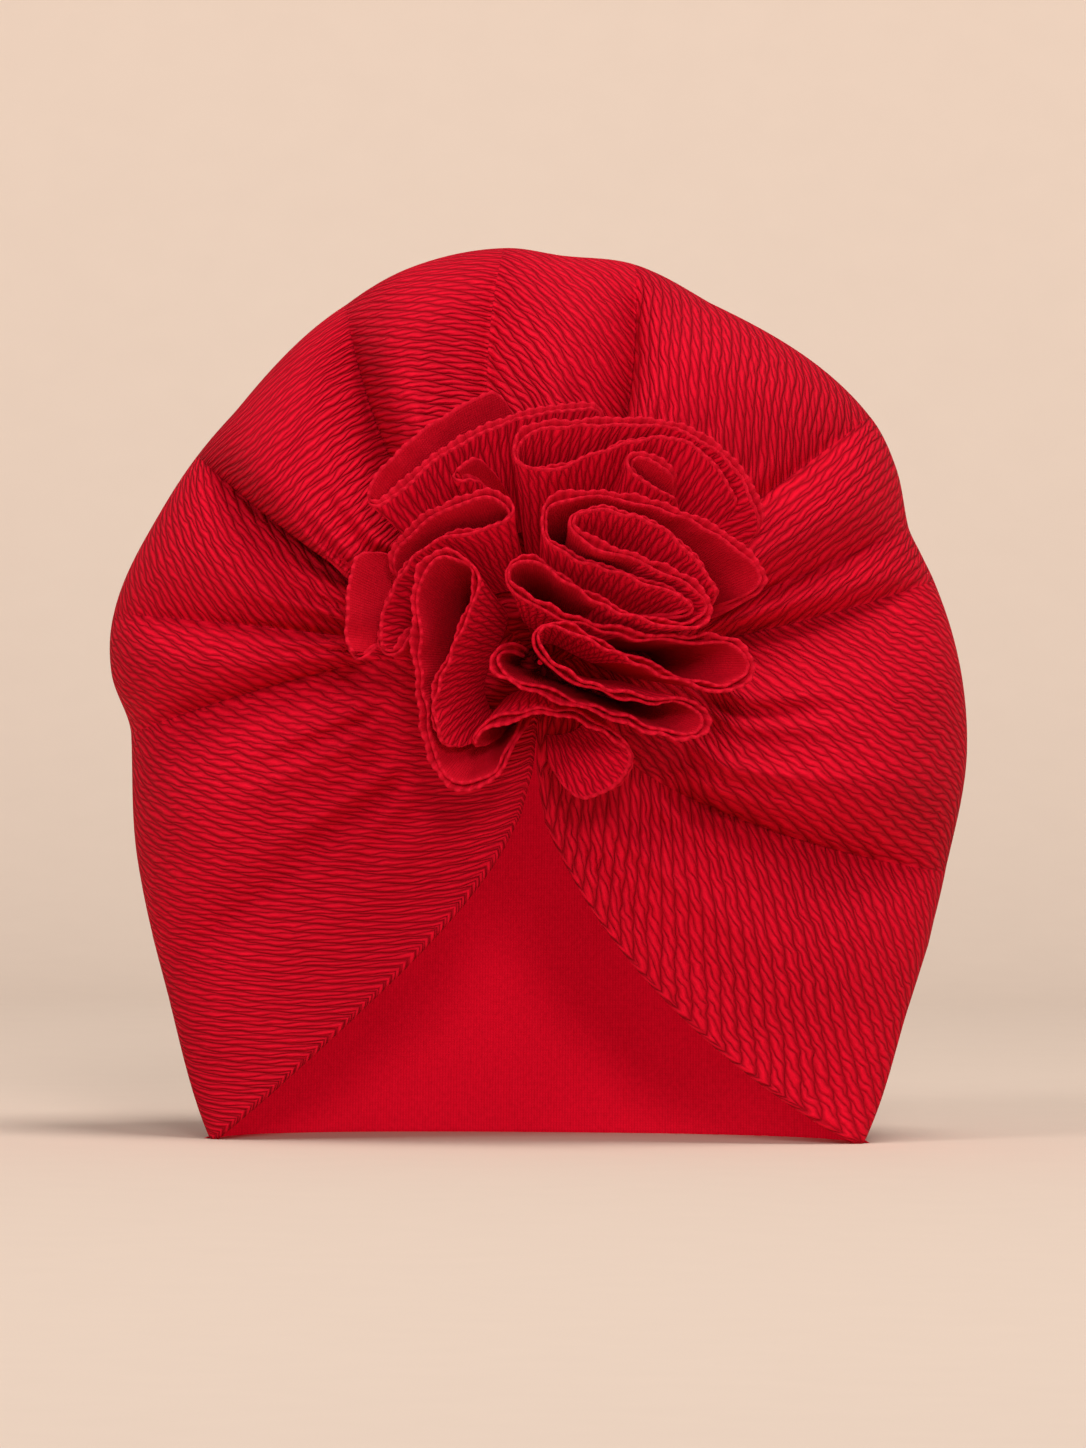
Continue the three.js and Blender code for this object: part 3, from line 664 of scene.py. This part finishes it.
# Ruffled strips
# The flower is made of doubled strips of the same knit with overlocked lips, gathered along
# their root and sewn to the wrap over the gather, so that the lips stand out in loops. Each
# row below is a turn of a strip's lip, and radii and places are in millimetres.
seat_gap = 0.3
ruffle_wall = 1.15
ruffle_step = 3.8
curve_samples = 12
root_share, flare = 0.55, 1.6
lip_ease_passes = 2
turn_columns = ("turn", "x", "z", "radius", "out", "bow")
ruffles = {
    "ruffle_front": (
        (0, 39.6, 8.8, 0, 40, 0),
        (1, 32.6, 12.4, 7.4, 41, -4.2),
        (1, 8.8, 30.6, 3.7, 43, 0.7),
        (-1, 32.6, 12.4, 4.9, 42, 2.9),
        (1, -3.7, 19.4, 4.8, 40, -3.7),
        (-1, 40.5, 0, 6.1, 38, 1.2),
        (1, 2.4, 4.9, 4.7, 41, -3.1),
        (-1, 32.6, -12.1, 4.6, 37, 0),
        (-1, -8.1, 0.7, 3.7, 37, 0),
        (0, -4.6, 3.3, 0, 37, 0),
    ),
    "ruffle_cup": (
        (0, 25.4, 12.6, 0, 40, 0),
        (1, 32.4, 12.4, 2, 42, 0),
        (-1, 5.7, 30.6, 6.6, 41, 3.7),
        (-1, 44.4, 18.3, 5, 38, 0),
        (0, 42.4, 12.9, 0, 36, 0),
    ),
    "ruffle_top_roll": (
        (0, 45.8, 29, 0, 30, 0),
        (1, 25.3, 34.1, 15.4, 35, 0),
        (-1, -1.5, 46.2, 5.3, 38, 0),
        (-1, 22, 26.4, 26.2, 34, 0),
        (0, 48.6, 25.6, 0, 27, 0),
    ),
    "ruffle_top_leaf": (
        (0, 35.6, 32.8, 0, 33, 0),
        (-1, 20.9, 43.4, 3.3, 37, 0),
        (0, 34.4, 36.6, 0, 33, 0),
    ),
    "ruffle_back_upper": (
        (0, -3.5, 61.4, 0, 19, -3.3),
        (1, -36.5, 35.4, 2.9, 27, 7.9),
        (0, 19.5, 55.6, 0, 26, 0),
    ),
    "ruffle_small": (
        (0, -8.8, 47.5, 0, 27, 0),
        (1, -18.5, 40.5, 1.8, 33, 0),
        (0, -9.7, 43.6, 0, 28, 0),
    ),
    "ruffle_left_upper": (
        (0, -35.6, 15.4, 0, 28, 4.8),
        (-1, -10.1, 32.8, 4.8, 38, -8.4),
        (1, -32.6, 4, 3.5, 31, 0),
        (0, -29.9, 12.8, 0, 30, 0),
    ),
    "ruffle_left_back": (
        (0, -37.8, 29.9, 0, 26, -2),
        (1, -39.8, 1.3, 1.8, 29, 0),
        (0, -38.4, 8.4, 0, 28, 0),
    ),
    "ruffle_left_tall": (
        (0, -3.8, -15, 0, 30, 0),
        (-1, -15.8, -20.2, 7.6, 33, 1.2),
        (-1, -20.2, 17.6, 6.9, 38, 0),
        (1, -13.2, -10, 10.7, 37, 0),
        (0, -18.5, -23.2, 0, 31, 0),
    ),
    "ruffle_lower": (
        (0, 2.4, -29.9, 0, 25, -2.6),
        (1, 18.9, -20.9, 2.9, 31, -5.9),
        (1, -13, -17.2, 3.1, 35, 0),
        (0, -12.4, -22.4, 0, 31, 0),
    ),
}
# The sides of each strip that show the ribs, left or right of its lip's way, each up to a turn
# of its table
ribbed_sides = {
    "ruffle_front": (
        (2.5, ("left",)),
        (3.5, ("left", "right")),
        (4.5, ("right",)),
        (5.5, ()),
        (9, ("left",)),
    ),
    "ruffle_cup": ((4, ("left",)),),
    "ruffle_top_roll": ((4, ("left", "right")),),
    "ruffle_top_leaf": ((2, ("left",)),),
    "ruffle_back_upper": ((2, ("right",)),),
    "ruffle_small": ((2, ("right",)),),
    "ruffle_left_upper": ((3, ("left",)),),
    "ruffle_left_back": ((3, ("right",)),),
    "ruffle_left_tall": ((4, ("left",)),),
    "ruffle_lower": ((1.5, ("left",)), (3, ("right",))),
}


def lip_line(turns):
    """A strip's lip, seen from the front: arcs about its turns, joined by lines that may bow."""
    rows = [dict(zip(turn_columns, row)) for row in turns]
    crossings = []
    for a, b in zip(rows, rows[1:]):
        toward = math.atan2(b["z"] - a["z"], b["x"] - a["x"])
        apart = math.hypot(b["x"] - a["x"], b["z"] - a["z"])
        heading = toward - math.asin((b["turn"] * b["radius"] - a["turn"] * a["radius"]) / apart)
        left = np.array([-math.sin(heading), math.cos(heading)])
        ends = [np.array([t["x"], t["z"]]) - left * t["turn"] * t["radius"] for t in (a, b)]
        crossings.append((*ends, left))
    line = []
    for n, turn in enumerate(rows):
        arrive = crossings[n - 1][1] if n else crossings[0][0]
        leave = crossings[n][0] if n < len(crossings) else arrive
        centre = np.array([turn["x"], turn["z"]])
        if turn["turn"]:
            start, end = (math.atan2(*(p - centre)[::-1]) for p in (arrive, leave))
            swept = turn["turn"] * (((end - start) * turn["turn"]) % (2 * math.pi))
            steps = max(1, math.floor(abs(swept * turn["radius"]) / ruffle_step + 0.5))
            for k in range(steps):
                angle = start + swept * k / steps
                spot = centre + turn["radius"] * np.array([math.cos(angle), math.sin(angle)])
                line.append([*spot, turn["out"], n])
        if n == len(crossings):
            line.append([*arrive, turn["out"], n])
            break
        begin, finish, left = crossings[n]
        steps = max(2, math.floor(math.dist(begin, finish) / ruffle_step + 0.5))
        for k in range(steps):
            q = k / steps
            spot = mix(begin, finish, q) + left * 4 * q * (1 - q) * turn["bow"]
            line.append([*spot, mix(turn["out"], rows[n + 1]["out"], smooth(q)), n + q])
    line = np.array(line, dtype=float)
    for _ in range(lip_ease_passes):
        line[1:-1] = (line[:-2] + 2 * line[1:-1] + line[2:]) / 4
    return line


def eased_through(line, step):
    """A smooth curve through a line's points, in even steps."""
    padded = np.concatenate([[2 * line[0] - line[1]], line, [2 * line[-1] - line[-2]]])
    q = np.linspace(0, 1, curve_samples, endpoint=False)[:, None]
    parts = []
    for a, b, c, d in zip(padded, padded[1:], padded[2:], padded[3:]):
        rounding = 2 * b + (c - a) * q + (2 * a - 5 * b + 4 * c - d) * q**2
        parts.append(0.5 * (rounding + (3 * b - a - 3 * c + d) * q**3))
    fine = np.concatenate(parts + [line[-1:]])
    run = lengths(fine, 0)
    count = max(8, round(run[-1] / step))
    even = np.linspace(0, run[-1], count)
    return np.stack([np.interp(even, run, fine[:, k]) for k in range(fine.shape[1])], axis=-1), even


strip_step, strip_rows, strip_crowding = 0.5, 20, 1.3
lip_zone, ply_zone = 9.0, 5.0
ply_spread, ply_drop = 0.95, 0.8
bead, bead_steps, bead_drop = 0.4, 6, 0.9
groove_depth = 3.0
loop_pitch, loop_reach, loop_sway, loop_offset = 2.3, 0.45, 0.25, 1.1
end_taper, end_height, end_bluntness = 9.0, 0.45, 0.7
ripple, ripple_runs = 0.34, (1.35, 1.6)
sway, sway_run = 0.22, 2.9
wander, wander_run = 1.3, 6.1

lip_dark, lip_light, lip_relief = (0.30, 0.0004, 0.005), (0.76, 0.005, 0.027), 0.0003

# The strips' ribbed face glows faintly in its own colour: painted light.
strip_knit = ribbed_knit("crinkle_knit_strips_painted_glow", 0.13)
overlock, shade = new_cloth("overlocked_edge")
place, along, across = cloth_measures(shade)
loop = (across / loop_pitch).fraction() - 0.5
thread = 1.0 - abs(loop) * 1.6
twist = patches(shade, place, 1.6, 2.0)
edge_tone = 0.3 + 0.5 * thread + 0.5 * (twist - 0.5)
edge_colour = tinted(shade, lip_dark, lip_light, edge_tone)
cloth_surface(shade, edge_colour, thread + 0.5 * twist, lip_relief, 0.74 - 0.05 * thread)


def strip_surface(line, run):
    """The middle of a strip from its root on the wrap up to its lip, lower toward both ends."""
    to_end = np.minimum(run, run[-1] - run)
    rounding = np.sin(np.clip(to_end / end_taper, 0, 1) * np.pi / 2) ** end_bluntness
    height = mix(end_height, 1, rounding)
    rows = []
    for row in 1 - (1 - np.linspace(0, 1, strip_rows)) ** strip_crowding:
        row = row * height
        share = mix(root_share, 1, row**flare)
        depth = mix(dish_y - seat_gap, -line[:, 2], row)
        rows.append(np.stack([line[:, 0] * share, depth, gather_height + line[:, 1] * share], axis=-1))
    return np.array(rows)


def lip_bead(top, outward, upward, loops):
    """Points over the lip of one ply, round its bead and down inside, with the overlock's loops."""
    points = []
    for turn in np.pi * np.arange(1, bead_steps) / bead_steps:
        aside = bead * (math.cos(turn) - 1) + loop_sway * (loops - 0.5) * math.sin(turn)
        points.append(top + outward * aside + upward * math.sin(turn) * (bead + loop_reach * loops))
    return points + [top - outward * 2 * bead - upward * bead_drop]


def ruffle_piece(name, turns):
    line, run = eased_through(lip_line(turns), strip_step)
    grid = strip_surface(line, run)
    normals = -inward_normals(grid, False)
    upward = unit(grid[-1] - grid[-2])
    height = lengths(grid, 0)
    below_lip = (height[-1:] - height)[..., None]
    near_lip = smooth(1 - below_lip / lip_zone)
    spread = mix(ruffle_wall / 2, ply_spread, smooth(1 - below_lip / ply_zone))
    plies, beads = [], []
    for n, side in enumerate((1, -1)):
        wandering = wander * np.sin(run / wander_run + side)
        ripples = ripple * np.sin(run / ripple_runs[n] + wandering)
        ripples += sway * np.sin(run / sway_run + 2 * side)
        ply = grid + normals * (side * spread + ripples[None, :, None] * near_lip)
        ply[0, :, 1] = dish_y - seat_gap
        ply = ply - upward[None] * ply_drop * near_lip * n
        loops = np.abs(np.sin(run * np.pi / loop_pitch + loop_offset * n))[:, None]
        plies.append(ply)
        beads.append(lip_bead(ply[-1], normals[-1] * side, upward, loops))
    groove = (plies[0][-1] + plies[1][-1]) / 2 - upward * groove_depth
    over_lip = beads[0] + [groove] + beads[1][::-1]
    cloth = Cloth()
    left_ids, right_ids = cloth.add_points(plies[0]), cloth.add_points(plies[1])
    lip_ids = [left_ids[-1]] + [cloth.add_points(points) for points in over_lip] + [right_ids[-1]]
    measures = np.stack([height, np.broadcast_to(run, height.shape)], axis=-1)
    pairs = np.stack([measures[:, :-1], measures[:, 1:]], axis=2)
    begin = 0
    for until, sides in ribbed_sides[name]:
        end = int(np.searchsorted(line[:, 3], until)) if until < line[-1, 3] else len(run) - 1
        here, steps = slice(begin, end + 1), slice(begin, end)
        cloth.add_grid(left_ids[:, here], pairs[:, steps], RIBBED if "left" in sides else SMOOTH)
        cloth.add_grid(right_ids[:, here], pairs[:, steps], RIBBED if "right" in sides else SMOOTH)
        begin = end
    for lower, upper in zip(lip_ids, lip_ids[1:]):
        cloth.add_grid(np.stack([lower, upper]), np.stack([pairs[-1], pairs[-1]]), EDGED)
    cloth.add_grid(np.stack([left_ids[0], right_ids[0]]), np.stack([pairs[0], pairs[0]]), SMOOTH)
    for column in (0, -1):
        lip_ring = [ids[column] for ids in lip_ids[1:-1]]
        cloth.close_end([*left_ids[:, column], *lip_ring, *right_ids[::-1, column]], EDGED)
    made = cloth.piece(name.replace("ruffle", "strip"), (strip_knit, smooth_reverse, overlock))
    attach(made, "root")
    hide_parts(name)


for name, turns in ruffles.items():
    ruffle_piece(name, turns)

# Table and backdrop
# One seamless sweep of pale paper: it lies flat under the hat and curves up behind it, just
# high enough to fill the picture.
sweep_front, sweep_back, sweep_half = -6.0, 0.85, 6.0
bend_radius, bend_sweep, bend_steps = 0.75, math.radians(66), 24
profile = [(sweep_front, 0.0)]
profile += [
    (sweep_back + bend_radius * math.sin(t), bend_radius * (1 - math.cos(t)))
    for t in np.linspace(0, bend_sweep, bend_steps)
]
sweep_mesh = bpy.data.meshes.new("paper_sweep")
sweep_points = [(side * sweep_half, y, z) for y, z in profile for side in (-1, 1)]
sweep_faces = [(2 * k, 2 * k + 1, 2 * k + 3, 2 * k + 2) for k in range(len(profile) - 1)]
sweep_mesh.from_pydata(sweep_points, [], sweep_faces)
sweep_mesh.polygons.foreach_set("use_smooth", [True] * len(sweep_faces))
paper, shade = new_cloth("pale_paper")
spot = shade.node("ShaderNodeTexCoord", output=3)
mottle = shade.node("ShaderNodeTexNoise", inputs={"Vector": spot, "Scale": 60.0, "Detail": 4.0})
paper_colour = tinted(shade, (0.716, 0.560, 0.456), (0.740, 0.581, 0.473), mottle)
paper_inputs = {"Base Color": paper_colour, "Roughness": 0.9, "Specular IOR Level": 0.1}
paper_surface = shade.node("ShaderNodeBsdfPrincipled", inputs=paper_inputs)
shade.node("ShaderNodeOutputMaterial", inputs={"Surface": paper_surface})
sweep_mesh.materials.append(paper)
sweep = bpy.data.objects.new("paper_sweep", sweep_mesh)
bpy.context.scene.collection.objects.link(sweep)

# Studio light
# A broad even light from the front, a little to the right and above, a large soft lamp
# overhead, a weaker one on the left and an even surround. The lamps stay out of the picture.
lamp_columns = ("kind", "place", "size", "power")
lamp_colour, surround_colour, surround_strength = (1.0, 0.99, 0.975), (1.0, 0.985, 0.97), 0.3
lamps = {
    "front": ("SUN", (0.32, -3.0, 1.3), 12.0, 0.97),
    "overhead": ("AREA", (0.5, -0.6, 2.4), 1.0, 38.0),
    "left": ("AREA", (-2.2, -2.6, 2.2), 1.2, 40.0),
}
for name, row in lamps.items():
    lamp_row = dict(zip(lamp_columns, row))
    lamp_data = bpy.data.lights.new(name, lamp_row["kind"])
    lamp_data.energy, lamp_data.color = lamp_row["power"], lamp_colour
    if lamp_row["kind"] == "SUN":
        lamp_data.angle = math.radians(lamp_row["size"])
    else:
        lamp_data.size = lamp_row["size"]
    lamp = bpy.data.objects.new(name, lamp_data)
    lamp.location = lamp_row["place"]
    lamp.rotation_euler = (camera_aim - Vector(lamp_row["place"])).to_track_quat("-Z", "Y").to_euler()
    lamp.visible_camera = False
    bpy.context.scene.collection.objects.link(lamp)

world = bpy.data.worlds.new("surround")
world.use_nodes = True
background = world.node_tree.nodes["Background"]
background.inputs["Color"].default_value = (*surround_colour, 1.0)
background.inputs["Strength"].default_value = surround_strength
bpy.context.scene.world = world
bpy.context.scene.view_settings.view_transform = "Standard"
bpy.context.scene.view_settings.look = "None"
